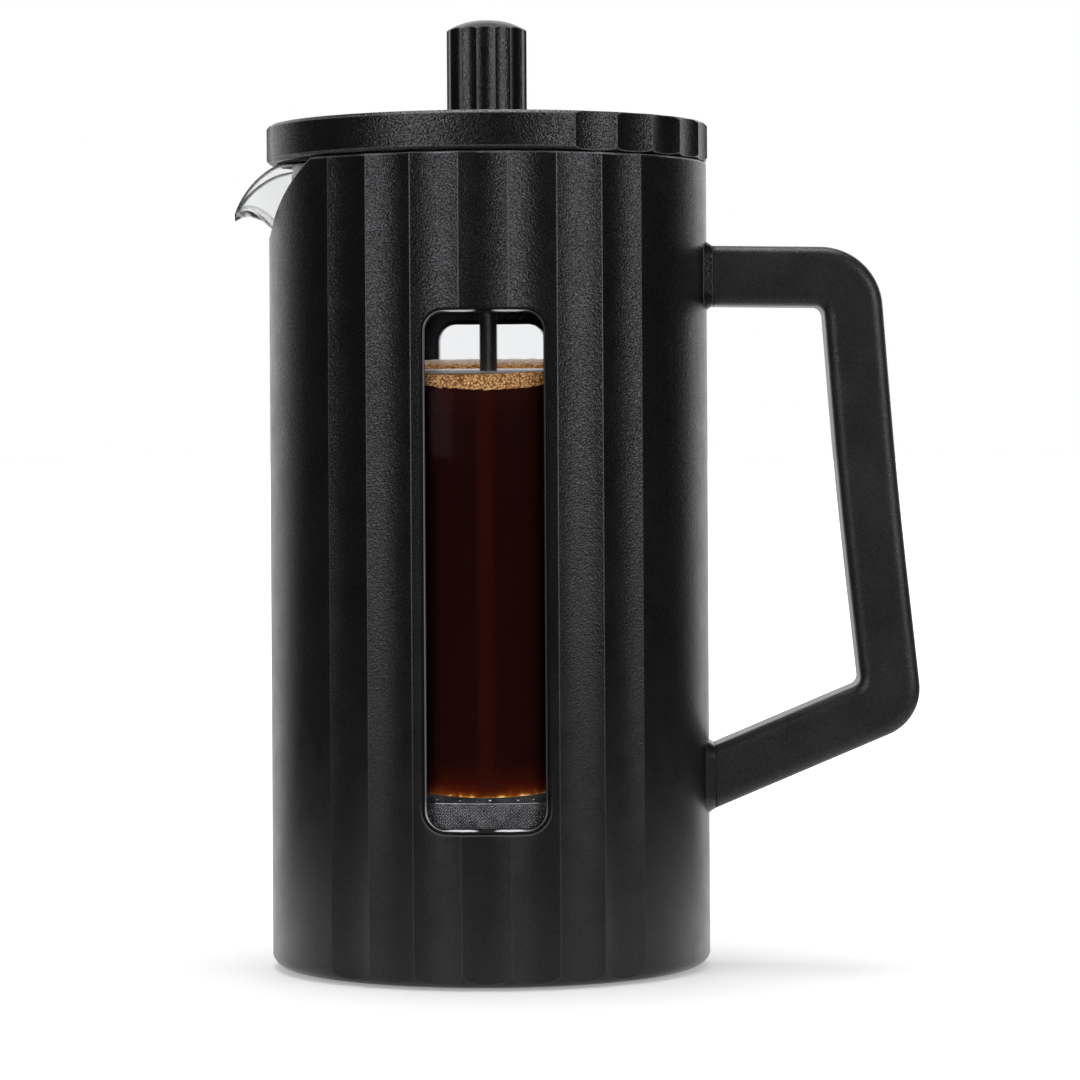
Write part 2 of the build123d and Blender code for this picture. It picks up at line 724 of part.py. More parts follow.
# ---------------------------------------------------------------- output
def build():
    """Every piece by its name."""
    return {
        "housing": shell(), "handle": handle(), "handle_screws": Compound(children=handle_screws()),
        "base_cover": base_cover(), "base_screws": Compound(children=base_screws()),
        "foot_ring": foot_ring(), "beaker_cushion": beaker_cushion(), "beaker": beaker(),
        "lid_cover": lid_cover(), "lid_liner": lid_liner(), "lid_gasket": lid_gasket(),
        "rod_bush": rod_bush(), "bush_nut": bush_nut(), "plunger_rod": plunger_rod(),
        "knob": knob(), "knob_insert": knob_insert(), "spiral_plate": spiral_plate(),
        "coil_spring": coil_spring(), "filter_mesh": filter_mesh(),
        "cross_plate": cross_plate(), "filter_nut": filter_nut(),
    }


if __name__ == "__main__":
    os.makedirs("parts", exist_ok=True)
    for node, piece in build().items():
        export_step(piece, f"parts/{node}.step")
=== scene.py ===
"""Looks of the french press: materials, contents, filter wire, studio and camera."""

import random
from math import cos, hypot, pi, radians, sin, sqrt

import bmesh
import bpy
from mathutils import Matrix, Vector, noise


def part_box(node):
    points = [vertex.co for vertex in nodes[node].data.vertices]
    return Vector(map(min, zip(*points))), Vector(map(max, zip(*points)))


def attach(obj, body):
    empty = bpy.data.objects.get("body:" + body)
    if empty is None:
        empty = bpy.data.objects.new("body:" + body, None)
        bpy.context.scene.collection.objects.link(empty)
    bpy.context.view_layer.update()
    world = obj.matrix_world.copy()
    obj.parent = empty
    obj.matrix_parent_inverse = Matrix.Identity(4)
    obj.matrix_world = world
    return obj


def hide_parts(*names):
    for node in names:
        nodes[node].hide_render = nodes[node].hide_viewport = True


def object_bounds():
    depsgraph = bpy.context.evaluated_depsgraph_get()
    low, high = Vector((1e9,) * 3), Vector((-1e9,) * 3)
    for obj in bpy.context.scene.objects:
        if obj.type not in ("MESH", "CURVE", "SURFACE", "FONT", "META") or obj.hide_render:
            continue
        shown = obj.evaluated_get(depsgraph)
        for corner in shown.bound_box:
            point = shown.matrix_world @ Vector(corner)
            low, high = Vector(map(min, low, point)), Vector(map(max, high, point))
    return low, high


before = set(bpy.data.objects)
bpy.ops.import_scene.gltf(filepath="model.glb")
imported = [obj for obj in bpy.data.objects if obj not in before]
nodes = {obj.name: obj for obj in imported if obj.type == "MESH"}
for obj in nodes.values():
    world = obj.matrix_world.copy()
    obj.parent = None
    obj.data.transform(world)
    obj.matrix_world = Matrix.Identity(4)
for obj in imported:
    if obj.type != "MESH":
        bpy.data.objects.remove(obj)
cad_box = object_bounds()
MM = 0.001

# The two windows of the shell, as in the solids.
WINDOW_LOW = 36.9 * MM
WINDOW_HIGH = 155.2 * MM
WINDOW_MIDDLE = (WINDOW_LOW + WINDOW_HIGH) / 2
WINDOW_HALF_HEIGHT = (WINDOW_HIGH - WINDOW_LOW) / 2
WINDOW_HALF_WIDTH = 13.6 * MM
WINDOW_CORNER = 4.4 * MM
BEVEL_LINE = 0.22 * MM          # from a window's outline to the painted highlight line on its bevel
BEVEL_END = 1.15 * MM           # from that line to the bevel's outer edge
BEVEL_RADII = (50.9 * MM, 51.3 * MM)    # the painted line is only on what is further out in the wall, which is bevelled

# The glass and what is in it.
glass_low, glass_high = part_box("beaker")
mesh_low, mesh_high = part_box("filter_mesh")
GLASS_BORE = glass_high.x - 2.0 * MM    # inside its wall
GLASS_FLOOR = glass_low.z + 3.0 * MM    # on top of its floor
FILM = 0.04 * MM                # between the glass and what lies against it
WALL = GLASS_BORE - FILM        # the outer radius of what the glass holds
FROTH_RADII = (GLASS_BORE - 2.9 * MM, GLASS_BORE - 1.9 * MM)    # froth outside them, film inside
COFFEE_TOP = glass_high.z - 52 * MM
COFFEE_EDGE = mesh_high.z + 2.3 * MM    # the lower edge of the coffee above the filter
COFFEE_SAG = 1.1 * MM           # it hangs this much in the middle of a window
FOAM_SAG = 1.2 * MM             # and the foam's lower edge this much
SAG_REACH = WINDOW_HALF_WIDTH + 0.4 * MM    # how far to each side of the middle they hang
BELOW_MESH = 1.2 * MM           # from the mesh down to where the coffee reaches the glass again

# Plastics.
BLACK = (0.0046, 0.0045, 0.0048)
SMOOTH = (39 * MM, 130 * MM)    # the shell's grain fades from the second height to the first
SMOOTH_SHARE = 0.25             # and this share of it is left at the foot
EVEN_SHINE = 0.32               # extra gloss where there is no grain


# ---------------------------------------------------------------- shader helpers
def new_material(name):
    """A node material, its tree and its Principled shader."""
    made = bpy.data.materials.new(name)
    made.use_nodes = True
    return made, made.node_tree, made.node_tree.nodes["Principled BSDF"]


def add(tree, kind, inputs=None, **settings):
    """A shader node with its settings and its inputs, each a value or a socket to link."""
    made = tree.nodes.new("ShaderNode" + kind)
    for name, value in settings.items():
        setattr(made, name, value)
    for name, value in (inputs or {}).items():
        fill(tree, made.inputs[name], value)
    return made


def fill(tree, socket, value):
    """Sets an input to a value, or links it to a socket."""
    if isinstance(value, bpy.types.NodeSocket):
        tree.links.new(value, socket)
    else:
        socket.default_value = value


def feed(tree, shader, **inputs):
    """Sets or links the inputs of a shader, named with underscores."""
    for name, value in inputs.items():
        fill(tree, shader.inputs[name.replace("_", " ")], value)


def source(shader, name):
    """The socket that feeds an input of a shader."""
    return shader.inputs[name].links[0].from_socket


def calculate(tree, operation, first, second=0.0):
    """The result of a sum, product or other operation on two values."""
    return add(tree, "Math", {0: first, 1: second}, operation=operation).outputs[0]


def plus(tree, first, second):
    """The sum of two values."""
    return calculate(tree, "ADD", first, second)


def minus(tree, first, second):
    """The difference of two values."""
    return calculate(tree, "SUBTRACT", first, second)


def times(tree, first, second):
    """The product of two values."""
    return calculate(tree, "MULTIPLY", first, second)


def larger(tree, first, second):
    """The larger of two values."""
    return calculate(tree, "MAXIMUM", first, second)


def unsigned(tree, value):
    """A value without its sign."""
    return calculate(tree, "ABSOLUTE", value)


def spread(tree, value, low, high, out_low=0.0, out_high=1.0):
    """A value's range stretched to another range, and clamped to it."""
    made = add(tree, "MapRange", {"Value": value, "From Min": low, "From Max": high,
                                  "To Min": out_low, "To Max": out_high})
    return made.outputs["Result"]


def blend_colours(tree, share, first, second):
    """A mix of two colours."""
    made = add(tree, "Mix", {"Factor": share}, data_type="RGBA")
    for index, colour in ((6, first), (7, second)):
        is_socket = isinstance(colour, bpy.types.NodeSocket)
        fill(tree, made.inputs[index], colour if is_socket else (*colour, 1))
    return made.outputs[2]


def colour_ramp(tree, value, colours):
    """A colour ramp through (position, colour) pairs."""
    made = add(tree, "ValToRGB", {"Fac": value})
    ramp = made.color_ramp
    while len(ramp.elements) < len(colours):
        ramp.elements.new(0.5)
    for stop, (position, colour) in zip(ramp.elements, colours):
        stop.position = position
        stop.color = (*colour, 1)
    return made.outputs["Color"]


def scaled(colour, share):
    """A colour made lighter or darker."""
    return [channel * share for channel in colour]


def place(tree):
    """The point's own coordinates in metres."""
    return add(tree, "TexCoord").outputs["Object"]


def axes(tree, vector):
    """The X, Y and Z of a vector."""
    return tuple(add(tree, "SeparateXYZ", {0: vector}).outputs)


def flat_length(tree, first, second):
    """The length of a flat vector, from its two parts."""
    flat = add(tree, "CombineXYZ", {"X": first, "Y": second})
    return add(tree, "VectorMath", {0: flat.outputs[0]}, operation="LENGTH").outputs["Value"]


def cloud(tree, size, detail=2.0, where=None):
    """Soft noise whose features are about one size, in metres."""
    made = add(tree, "TexNoise", {"Vector": where or place(tree), "Scale": 1 / size, "Detail": detail})
    return made.outputs["Fac"]


def cells(tree, size, feature="F1"):
    """Distance to the middle of the nearest cell, as a share of the cells' size in metres."""
    made = add(tree, "TexVoronoi", {"Vector": place(tree), "Scale": 1 / size}, feature=feature)
    return made.outputs["Distance"]


def bumped(tree, height, distance, normal=None):
    """A normal that a height map tips."""
    inputs = {"Height": height, "Distance": distance, "Strength": 1.0}
    if normal is not None:
        inputs["Normal"] = normal
    return add(tree, "Bump", inputs).outputs["Normal"]


def softened_edges(tree, radius):
    """A normal that turns smoothly over edges, as a small moulded round does."""
    return add(tree, "Bevel", {"Radius": radius}, samples=6).outputs["Normal"]


def edge_share(tree, rounded, sharpest):
    """How close a point is to an edge: 0 on open faces and 1 where the rounded normal leans most."""
    flat = add(tree, "NewGeometry").outputs["Normal"]
    agree = add(tree, "VectorMath", {0: rounded, 1: flat}, operation="DOT_PRODUCT").outputs["Value"]
    return spread(tree, agree, 1.0, sharpest)


# ---------------------------------------------------------------- plastics
def plastic_glint(tree, pebble, sparkle, crisp):
    """Gloss that varies from grain to grain, and is even and a little higher without grain."""
    glint = spread(tree, cloud(tree, pebble, 2.0), 0.38, 0.68, -0.3 * sparkle, 0.4 * sparkle)
    return plus(tree, times(tree, minus(tree, glint, EVEN_SHINE), crisp), 0.5 + EVEN_SHINE)


def moulded_plastic(name, colour, roughness, pebble, relief, edge=0.4 * MM, sparkle=1.0, highlight_gain=24,
                    fading=False):
    """Dark moulded plastic with a grain of one pebble size and relief, which sparkles a little, partly
    through light specks painted into its colour, and with a painted highlight on its edges, so many times
    lighter.
    Grain, specks and the painted edge highlight may fade towards the press's foot."""
    made, tree, shader = new_material(name)
    crisp = 1.0
    if fading:
        _, _, level = axes(tree, place(tree))
        crisp = spread(tree, level, *SMOOTH, SMOOTH_SHARE, 1.0)
    grain = plus(tree, cells(tree, pebble, "SMOOTH_F1"), times(tree, cloud(tree, 2.3 * pebble, 3.0), 0.8))
    mottle = spread(tree, cloud(tree, 14 * MM, 4.0), 0.35, 0.65)
    tint = blend_colours(tree, mottle, scaled(colour, 0.82), scaled(colour, 1.2))
    # painted sparkle: light specks in the colour at the grains
    painted_speck = spread(tree, cells(tree, 1.3 * pebble), 0.05, 0.3, 0.35 * sparkle, 0.0)
    tint = blend_colours(tree, times(tree, painted_speck, crisp), tint, scaled(colour, 4))
    rounded = softened_edges(tree, edge)
    # painted highlight on edges and ridges, so many times lighter
    painted_edge_share = times(tree, edge_share(tree, rounded, 0.965), crisp)
    tint = blend_colours(tree, painted_edge_share, tint, scaled(colour, highlight_gain))
    sheen = spread(tree, cloud(tree, 6 * MM, 3.0), 0.3, 0.7, roughness - 0.03, roughness + 0.04)
    feed(tree, shader, Base_Color=tint, Roughness=sheen,
         Specular_IOR_Level=plastic_glint(tree, pebble, sparkle, crisp),
         Normal=bumped(tree, times(tree, grain, crisp), relief, rounded))
    return made


def off_bevel_line(tree, x, above):
    """Distance from the painted highlight line round a window, which follows its rounded corners."""
    past_side = minus(tree, unsigned(tree, x), WINDOW_HALF_WIDTH - WINDOW_CORNER)
    past_end = minus(tree, unsigned(tree, above), WINDOW_HALF_HEIGHT - WINDOW_CORNER)
    reach = flat_length(tree, larger(tree, past_side, 0.0), larger(tree, past_end, 0.0))
    return unsigned(tree, minus(tree, reach, WINDOW_CORNER + BEVEL_LINE))


def painted_bevel_brightness(tree, x, y, above, foot):
    """How bright that painted highlight line is: most at a window's foot, less at its head, least at its
    sides.
    It is painted dim on the half that faces away from the light, where x times y is well below nought."""
    head = spread(tree, above, WINDOW_HALF_HEIGHT - 5 * MM, WINDOW_HALF_HEIGHT, 0.0, 0.65)
    level = larger(tree, spread(tree, foot, 0.0, 1.0, 0.2, 1.0), head)
    lit = spread(tree, times(tree, x, y), -600 * MM * MM, -400 * MM * MM, 0.3, 1.0)
    return times(tree, level, lit)


def painted_window_glint(made):
    """Paints a highlight line on the bevel of both windows, as light catching it would look, and paints
    shade on the wall next to it. The painted line is broken in the middle of a window."""
    tree = made.node_tree
    shader = tree.nodes["Principled BSDF"]
    x, y, z = axes(tree, place(tree))
    above = minus(tree, z, WINDOW_MIDDLE)
    foot = spread(tree, above, -WINDOW_HALF_HEIGHT, 7 * MM - WINDOW_HALF_HEIGHT, 1.0, 0.0)
    off_line = off_bevel_line(tree, x, above)
    # painted highlight: a pale line on the bevel
    line = times(tree, spread(tree, off_line, 0.12 * MM, 0.28 * MM, 1.0, 0.0),
                 spread(tree, unsigned(tree, x), 1.6 * MM, 2.6 * MM))
    line = times(tree, line, spread(tree, flat_length(tree, x, y), *BEVEL_RADII))
    off_end = unsigned(tree, minus(tree, off_line, BEVEL_END))
    # a faint painted highlight line along the bevel's outer edge, near a window's foot
    faint = times(tree, spread(tree, off_end, 0.08 * MM, 0.2 * MM, 0.07, 0.0), foot)
    bright = larger(tree, times(tree, line, painted_bevel_brightness(tree, x, y, above, foot)), faint)
    # painted shade: the wall next to the line is painted near black and loses its gloss
    beside = spread(tree, off_line, 0.7 * MM, 1.1 * MM, 0.9, 0.0)
    tint = blend_colours(tree, beside, source(shader, "Base Color"), (0.003, 0.003, 0.003))
    tint = blend_colours(tree, bright, tint, (0.85, 0.86, 0.88))
    shine = times(tree, source(shader, "Specular IOR Level"), minus(tree, 1.0, beside))
    feed(tree, shader, Base_Color=tint, Specular_IOR_Level=shine)


def painted_rim_glint(made, rim):
    """Paints a highlight on parts of an upper rim, just below the lid."""
    tree = made.node_tree
    shader = tree.nodes["Principled BSDF"]
    _, _, level = axes(tree, place(tree))
    line = spread(tree, level, rim - 0.5 * MM, rim - 0.3 * MM)
    highlight_gain = spread(tree, cloud(tree, 9 * MM, 3.0), 0.42, 0.62, 0.1, 1.0)
    # painted highlight along the rim, broken up by a cloud
    tint = blend_colours(tree, times(tree, line, highlight_gain), source(shader, "Base Color"), (0.16, 0.16, 0.17))
    feed(tree, shader, Base_Color=tint)


def matt_top(made):
    """Makes the faces that point up more matt than the rest."""
    tree = made.node_tree
    shader = tree.nodes["Principled BSDF"]
    _, _, up = axes(tree, add(tree, "NewGeometry").outputs["Normal"])
    shine = times(tree, source(shader, "Specular IOR Level"), spread(tree, up, 0.8, 0.95, 1.0, 0.12))
    sheen = larger(tree, source(shader, "Roughness"), spread(tree, up, 0.8, 0.95, 0.0, 0.5))
    feed(tree, shader, Specular_IOR_Level=shine, Roughness=sheen)


def silicone(name, colour):
    """Soft matt rubber with a faint bloom."""
    made, tree, shader = new_material(name)
    bloom = spread(tree, cloud(tree, 3 * MM, 4.0), 0.4, 0.7)
    tint = blend_colours(tree, bloom, colour, scaled(colour, 1.6))
    normal = bumped(tree, cloud(tree, 0.4 * MM, 2.0), 0.03 * MM, softened_edges(tree, 0.3 * MM))
    feed(tree, shader, Base_Color=tint, Roughness=0.62, Normal=normal)
    return made


# ---------------------------------------------------------------- metals
def turned_steel(name, colour=(0.55, 0.55, 0.56), roughness=0.24, along="Z"):
    """Stainless steel with fine turning marks across one axis."""
    made, tree, shader = new_material(name)
    stretch = add(tree, "Mapping", {"Vector": place(tree)})
    stretch.inputs["Scale"].default_value = [0.06 if axis != along else 1.0 for axis in "XYZ"]
    marks = cloud(tree, 0.12 * MM, 3.0, stretch.outputs[0])
    smudge = cloud(tree, 5 * MM, 3.0)
    sheen = spread(tree, smudge, 0.3, 0.7, roughness - 0.05, roughness + 0.08)
    tint = blend_colours(tree, spread(tree, marks, 0.3, 0.7), scaled(colour, 0.86), colour)
    normal = bumped(tree, marks, 0.012 * MM, softened_edges(tree, 0.12 * MM))
    feed(tree, shader, Base_Color=tint, Metallic=1.0, Roughness=sheen, Normal=normal)
    return made


def woven_steel():
    """Fine woven stainless mesh: crossed wires with dark holes between them."""
    made, tree, shader = new_material("woven_steel")
    pitch = 0.36 * MM
    x, y, z = axes(tree, place(tree))
    turn = calculate(tree, "ARCTAN2", y, x)
    warp = calculate(tree, "SINE", times(tree, turn, mesh_high.x * pi / pitch))
    weft = calculate(tree, "SINE", times(tree, z, pi / pitch))
    height = plus(tree, unsigned(tree, warp), unsigned(tree, weft))
    hole = spread(tree, height, 0.35, 0.8)
    stain = spread(tree, cloud(tree, 3.2 * MM, 4.0), 0.35, 0.7)
    wire = blend_colours(tree, stain, (0.10, 0.10, 0.102), (0.20, 0.20, 0.206))
    tint = blend_colours(tree, hole, (0.008, 0.008, 0.008), wire)
    normal = bumped(tree, plus(tree, height, times(tree, warp, weft)), 0.08 * MM)
    feed(tree, shader, Base_Color=tint, Metallic=hole, Roughness=0.38, Normal=normal)
    return made


# ---------------------------------------------------------------- glass and contents
def clear_glass():
    """Clear borosilicate glass, its edges painted near black as painted shade. Light that only casts
    shadows passes straight through.
    """
    made, tree, shader = new_material("clear_glass")
    wave = cloud(tree, 20 * MM, 1.0)
    rounded = softened_edges(tree, 1.2 * MM)
    painted_edge_share = edge_share(tree, rounded, 0.975)
    # painted shade: dark outlines along the glass's edges
    tint = blend_colours(tree, painted_edge_share, (0.985, 0.99, 0.995), (0.02, 0.021, 0.023))
    feed(tree, shader, Base_Color=tint, Roughness=0.0, IOR=1.47, Specular_Tint=(0.03, 0.03, 0.034, 1),
         Transmission_Weight=1.0, Normal=bumped(tree, wave, 0.02 * MM, rounded))
    open_shader = add(tree, "BsdfTransparent", {"Color": (0.93, 0.95, 0.94, 1)})
    path = add(tree, "LightPath")
    passing = larger(tree, path.outputs["Is Shadow Ray"], path.outputs["Is Diffuse Ray"])
    mixed = add(tree, "MixShader", {0: passing, 1: shader.outputs[0], 2: open_shader.outputs[0]})
    tree.links.new(mixed.outputs[0], tree.nodes["Material Output"].inputs["Surface"])
    return made


def above_liquid_edge(tree, aside, height):
    """Height above the coffee's lower edge, which hangs in the middle of each window and wanders
    a little."""
    share = spread(tree, aside, 0.0, SAG_REACH)
    hang = times(tree, times(tree, share, share), COFFEE_SAG)
    over = minus(tree, height, plus(tree, hang, COFFEE_EDGE - COFFEE_SAG))
    wander = times(tree, minus(tree, cloud(tree, 1.8 * MM, 3.0), 0.42), 2.4 * MM)
    return plus(tree, over, wander)


def coffee_depth_tint(tree, aside, height):
    """The coffee's colour by height, painting the light that shines through it, with a painted glow of the
    rod in the middle and painted shade at the sides.
    """
    full_ramp = 100 * MM
    over = above_liquid_edge(tree, aside, height)
    # painted light: the ramp paints the light shining through the coffee, red towards its lower edge and
    # amber along it
    depth = colour_ramp(tree, spread(tree, over, 0.0, full_ramp), [
        (0.0, (1.0, 0.70, 0.26)), (0.0035, (0.50, 0.19, 0.022)), (0.008, (0.16, 0.032, 0.004)),
        (0.018, (0.072, 0.0085, 0.0025)), (0.034, (0.034, 0.0042, 0.0016)),
        (0.08, (0.0125, 0.0022, 0.0012)), (0.86, (0.0115, 0.0023, 0.0016)),
        (0.97, (0.022, 0.0040, 0.0026))])
    # painted glow of the rod seen through the coffee
    painted_rod_glow = spread(tree, aside, 1.4 * MM, 2.4 * MM, 0.5, 0.0)
    lit = blend_colours(tree, painted_rod_glow, depth, (0.030, 0.0045, 0.0022))
    # painted shade towards the window's sides
    shade = spread(tree, aside, WINDOW_HALF_WIDTH - 3.1 * MM, WINDOW_HALF_WIDTH - 0.2 * MM, 0.0, 0.72)
    return blend_colours(tree, shade, lit, (0.002, 0.0008, 0.0006))


def brewed_coffee():
    """Coffee: nearly black in depth, painted red towards its thin lower edge and amber along it, as light
    shining through it would make it.
    Its waist round the filter is smoky grey, and what lies under the filter is dark."""
    made, tree, shader = new_material("brewed_coffee")
    x, y, height = axes(tree, place(tree))
    tint = coffee_depth_tint(tree, unsigned(tree, x), height)
    under = spread(tree, height, mesh_low.z - BELOW_MESH, mesh_low.z - BELOW_MESH / 2, 1.0, 0.0)
    tint = blend_colours(tree, under, tint, (0.016, 0.0035, 0.0018))
    smoke = spread(tree, cloud(tree, 3 * MM, 4.0), 0.35, 0.65)
    smoky = blend_colours(tree, smoke, (0.05, 0.05, 0.06), (0.17, 0.17, 0.18))
    reach = flat_length(tree, x, y)
    waist = spread(tree, reach, mesh_high.x - 0.75 * MM, mesh_high.x - 0.15 * MM, 1.0, 0.0)
    tint = blend_colours(tree, waist, tint, smoky)
    feed(tree, shader, Base_Color=tint, Roughness=0.25, Specular_IOR_Level=0.0)
    return made


def froth_tint(tree, bubbles, height):
    """Golden froth, each bubble painted lighter in its middle and darker at its border as light and shade
    fall on it, and paler along its thin upper edge.
    """
    froth = colour_ramp(tree, bubbles, [(0.14, (0.95, 0.72, 0.44)), (0.34, (0.72, 0.42, 0.18)),
                                        (0.56, (0.48, 0.23, 0.070)), (0.78, (0.16, 0.05, 0.008))])
    thin = spread(tree, height, COFFEE_TOP + 5.2 * MM, COFFEE_TOP + 6.9 * MM, 0.0, 0.8)
    return blend_colours(tree, thin, froth, (0.80, 0.74, 0.68))


def coffee_foam():
    """Golden froth of small bubbles round a paler, smoother film, with painted shade at the window's sides
    and a painted glow along its top and on the film.
    """
    made, tree, shader = new_material("coffee_foam")
    x, y, height = axes(tree, place(tree))
    reach = flat_length(tree, x, y)
    patches = cloud(tree, 1.4 * MM, 2.0)
    bubbles = plus(tree, times(tree, cells(tree, 0.5 * MM), 0.9), times(tree, patches, 0.3))
    skin = blend_colours(tree, cloud(tree, 5 * MM, 2.0), (0.52, 0.52, 0.55), (0.70, 0.68, 0.68))
    frothy = spread(tree, reach, *FROTH_RADII)
    tint = blend_colours(tree, frothy, skin, froth_tint(tree, bubbles, height))
    # painted shade towards the window's sides
    shade = spread(tree, unsigned(tree, x), WINDOW_HALF_WIDTH - 2.1 * MM, WINDOW_HALF_WIDTH, 0.0, 0.4)
    tint = blend_colours(tree, shade, tint, (0.10, 0.035, 0.008))
    # painted glow, as if backlit, along the froth's top and on the film
    glow = spread(tree, height, COFFEE_TOP + 2.5 * MM, COFFEE_TOP + 4.1 * MM, 0.0, 0.55)
    glow = larger(tree, glow, spread(tree, reach, *FROTH_RADII, 0.14, 0.0))
    feed(tree, shader, Base_Color=tint, Roughness=0.32, Specular_IOR_Level=0.25,
         Normal=bumped(tree, bubbles, 0.2 * MM), Emission_Color=tint, Emission_Strength=glow)
    return made


def bubble_film():
    """The skin of an air bubble: clear grey, with one painted highlight arc, as light from above would
    make, which also glows.
    """
    made, tree, shader = new_material("bubble_film")
    _, _, up = axes(tree, add(tree, "NewGeometry").outputs["Normal"])
    off_arc = unsigned(tree, minus(tree, up, 0.55))
    broken = spread(tree, cloud(tree, 2.5 * MM, 2.0), 0.4, 0.5, 0.3, 1.0)
    painted_highlight_arc = times(tree, spread(tree, off_arc, 0.14, 0.24, 1.0, 0.0), broken)
    tint = blend_colours(tree, painted_highlight_arc, (0.05, 0.05, 0.055), (0.88, 0.88, 0.90))
    feed(tree, shader, Base_Color=tint, Roughness=0.12, Emission_Color=tint,
         Emission_Strength=times(tree, painted_highlight_arc, 0.5))
    return made


# ---------------------------------------------------------------- mesh helpers
def new_piece(name, mesh, material, body):
    """A named piece that rides on a body."""
    made = bpy.data.objects.new(name, mesh)
    bpy.context.scene.collection.objects.link(made)
    made.data.materials.append(material)
    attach(made, body)
    return made


def smooth_mesh(name, built, sharp=35.0):
    """A mesh from a bmesh, smooth but for its sharp edges."""
    bmesh.ops.recalc_face_normals(built, faces=built.faces)
    for edge in built.edges:
        edge.smooth = len(edge.link_faces) == 2 and edge.calc_face_angle(0) < radians(sharp)
    for face in built.faces:
        face.smooth = True
    mesh = bpy.data.meshes.new(name)
    built.to_mesh(mesh)
    built.free()
    return mesh


def ring_of_points(built, radius, height, steps):
    """The points of one ring of a turned skin, or its one point on the axis."""
    if radius < 0.001 * MM:
        return [built.verts.new((0, 0, height))]
    turn = [2 * pi * step / steps for step in range(steps)]
    return [built.verts.new((radius * cos(a), radius * sin(a), height)) for a in turn]


def join_rings(built, low, high, steps):
    """The faces between two rings, of which one may be a point."""
    for step in range(steps):
        after = (step + 1) % steps
        around = [low[step % len(low)], low[after % len(low)],
                  high[after % len(high)], high[step % len(high)]]
        corners = list(dict.fromkeys(around))
        if len(corners) > 2:
            built.faces.new(corners)


def turned(name, outline, steps, shift=None, sharp=35.0):
    """A closed solid of revolution about Z. The outline is (radius, height) points in metres, from
    the axis back to the axis or round a closed loop. shift moves a point of the finished skin."""
    built = bmesh.new()
    rings = [ring_of_points(built, radius, height, steps) for radius, height in outline]
    pairs = list(zip(rings, rings[1:]))
    if len(rings[0]) > 1:
        pairs.append((rings[-1], rings[0]))
    for low, high in pairs:
        join_rings(built, low, high, steps)
    if shift is not None:
        for vertex in built.verts:
            vertex.co = shift(vertex.co)
    return smooth_mesh(name, built, sharp)


def share_between(value, low, high):
    """How far a value lies from one bound to another, from 0 to 1."""
    return min(max((value - low) / (high - low), 0.0), 1.0)


def arc(middle, radius, start, end, steps):
    """Points of an arc in the (radius, height) plane, angles in degrees."""
    angles = [radians(start + (end - start) * step / steps) for step in range(steps + 1)]
    return [(middle[0] + radius * cos(a), middle[1] + radius * sin(a)) for a in angles]


# ---------------------------------------------------------------- contents
def sagged(co, depth):
    """A point of a liquid's edge that hangs a little towards the middle of each window."""
    share = min(abs(co.x) / SAG_REACH, 1.0)
    return Vector((co.x, co.y, co.z - depth * (1 - share * share)))


def coffee():
    """The coffee, from the floor of the glass up into the foam, waisted at the filter."""
    floor = GLASS_FLOOR + FILM
    round_foot = 5 * MM
    waist = mesh_high.x - 2.6 * MM
    neck = WALL - 0.25 * MM
    low = mesh_low.z - BELOW_MESH
    outline = [(0, floor)]
    outline += arc((WALL - round_foot, floor + round_foot), round_foot, -90, 0, 6)
    outline += [(WALL, low), (waist, low + 0.6 * MM), (waist, COFFEE_EDGE + 0.5 * MM)]
    outline += [(WALL - 0.3 * MM, COFFEE_EDGE + 0.1 * MM), (WALL, COFFEE_EDGE + 0.1 * MM)]
    outline += [(WALL, COFFEE_TOP - 2.9 * MM), (neck, COFFEE_TOP - 2.1 * MM), (neck, COFFEE_TOP)]
    outline += [(0, COFFEE_TOP)]

    def shift(co):
        at_filter = COFFEE_EDGE - MM < co.z < COFFEE_EDGE + MM
        return sagged(co, COFFEE_SAG) if at_filter else co
    new_piece("coffee", turned("coffee", outline, 192, shift), brewed_coffee(), "beaker")


def froth_roughness(co):
    """How far the bubbles lift or lower a point of the froth."""
    return noise.noise(co * 1400) * 0.16 * MM + noise.noise(co * 500) * 0.12 * MM


def froth_top(co):
    """A point of the froth's upper skin: rough near the glass, and higher behind than in front."""
    behind = max(0.0, co.y / WALL)
    rim = share_between(hypot(co.x, co.y), WALL - 1.5 * MM, WALL - 0.7 * MM)
    rise = (0.5 + 0.5 * co.y / WALL) * 2.9 * MM + rim * behind * 2.3 * MM
    if co.y < 0:
        middle = max(0.0, 1 - (co.x / SAG_REACH) ** 2)
        rise += rim * (co.x / WALL * 1.1 - middle * 0.35) * MM
    return Vector((co.x, co.y, co.z + froth_roughness(co) * rim + rise))


def froth_bottom(co):
    """A point of the froth's lower skin, which hangs and is ragged against the glass."""
    near_glass = co.z < COFFEE_TOP and hypot(co.x, co.y) > 30 * MM
    lowered = sagged(co, FOAM_SAG) if near_glass else co
    rough = froth_roughness(co)
    if co.z < COFFEE_TOP - 0.5 * MM:
        rough += noise.noise(co * 1100) * 0.35 * MM
    return Vector((lowered.x, lowered.y, lowered.z + rough))


